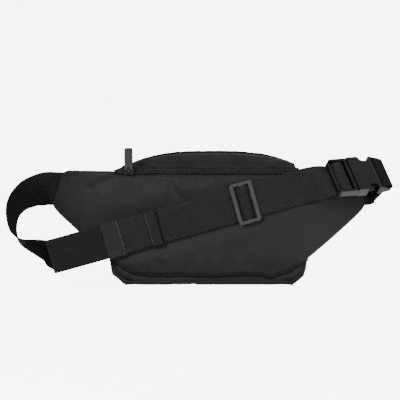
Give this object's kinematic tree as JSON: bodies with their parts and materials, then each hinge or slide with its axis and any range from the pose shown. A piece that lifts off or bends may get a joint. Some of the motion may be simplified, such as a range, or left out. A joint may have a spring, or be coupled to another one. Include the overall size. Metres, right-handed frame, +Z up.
{
  "type": "waist pack",
  "caption": "Padded waist pack with winged back panel, zipped back and front pockets, webbing waist strap, tri-glide, keeper and side-release buckle.",
  "frame": {"origin": "middle of the flat base that the pack stands on", "axes": "+X along the belt, towards the buckle; -Y out of the back panel, towards the wearer; +Z up"},
  "size_m": [0.4317, 0.1245, 0.1541],
  "materials": {
    "fabric": "matt woven nylon",
    "webbing": "matt ribbed webbing",
    "elastic": "matt knitted elastic",
    "plastic": "satin moulded plastic",
    "zip_tape": "matt woven tape",
    "zip_coil": "satin nylon coil",
    "metal": "black enamelled metal",
    "rubber": "matt moulded rubber",
    "padding": "closed-cell foam sheet"
  },
  "bodies": {
    "pack": {"back_panel": "fabric", "back_panel_inner": "fabric", "side_and_base_gusset": "fabric", "top_gusset": "fabric", "front_piping": "fabric", "front_panel": "fabric", "front_pocket_panel": "fabric", "back_foam_pad": "padding", "strap_loop": "webbing", "anchor_webbing": "webbing", "buckle_socket": "plastic", "back_zip_tape_lower": "zip_tape", "back_zip_tape_upper": "zip_tape", "front_zip_tape_lower": "zip_tape", "front_zip_tape_upper": "zip_tape", "back_zip_chain": "zip_coil", "front_zip_chain": "zip_coil", "back_zip_stop_start": "metal", "back_zip_stop_end": "metal", "front_zip_stop_start": "metal", "front_zip_stop_end": "metal"},
    "strap": {"waist_strap": "webbing", "buckle_frame": "plastic"},
    "prong_upper": {"buckle_prong_upper": "plastic"},
    "prong_lower": {"buckle_prong_lower": "plastic"},
    "glide": {"tri_glide": "plastic", "glide_webbing_hump": "webbing"},
    "keeper": {"strap_keeper": "elastic"},
    "back_slider": {"back_zip_slider": "metal"},
    "back_ring": {"back_zip_puller_ring": "metal"},
    "back_puller": {"back_zip_puller": "rubber"},
    "front_slider": {"front_zip_slider": "metal"},
    "front_ring": {"front_zip_puller_ring": "metal"},
    "front_puller": {"front_zip_puller": "rubber"}
  },
  "joints": [
    {"name": "buckle_release", "type": "slide", "parent": "pack", "child": "strap", "axis": [-0.9195, -0.3903, -0.0471], "range_m": [0, 0.04], "deforming": ["strap_loop", "buckle_prong_upper", "buckle_prong_lower"]},
    {"name": "prong_upper_press", "type": "hinge", "parent": "strap", "child": "prong_upper", "pos_m": [0.15196, -0.03402, 0.13559], "axis": [-0.2664, 0.7068, -0.6553], "range_deg": [0, 8], "stiffness_Nm_per_rad": 0.02},
    {"name": "prong_lower_press", "type": "hinge", "parent": "strap", "child": "prong_lower", "pos_m": [0.16225, -0.05502, 0.10875], "axis": [0.2664, -0.7068, 0.6553], "range_deg": [0, 8], "stiffness_Nm_per_rad": 0.02},
    {"name": "tri_glide_slide", "type": "slide", "parent": "strap", "child": "glide", "axis": [-0.9622, 0, -0.2723], "range_m": [-0.012, 0.085]},
    {"name": "keeper_slide", "type": "slide", "parent": "strap", "child": "keeper", "axis": [0.9622, 0, 0.2723], "range_m": [-0.03, 0.029]},
    {"name": "back_zip_slide", "type": "slide", "parent": "pack", "child": "back_slider", "axis": [1, 0, 0], "range_m": [0, 0.156]},
    {"name": "back_ring_swing", "type": "hinge", "parent": "back_slider", "child": "back_ring", "pos_m": [-0.0885, -0.0435, 0.1281], "axis": [1, 0, 0], "range_deg": [-20, 20]},
    {"name": "back_puller_swing", "type": "hinge", "parent": "back_ring", "child": "back_puller", "pos_m": [-0.0885, -0.0469, 0.1281], "axis": [1, 0, 0], "range_deg": [0, 140]},
    {"name": "front_zip_slide", "type": "slide", "parent": "pack", "child": "front_slider", "axis": [-1, 0, 0], "range_m": [0, 0.126]},
    {"name": "front_ring_swing", "type": "hinge", "parent": "front_slider", "child": "front_ring", "pos_m": [0.062, 0.04783, 0.0952], "axis": [1, 0, 0], "range_deg": [0, 20]},
    {"name": "front_puller_swing", "type": "hinge", "parent": "front_ring", "child": "front_puller", "pos_m": [0.062, 0.05123, 0.0952], "axis": [1, 0, 0], "range_deg": [0, 130]}
  ]
}
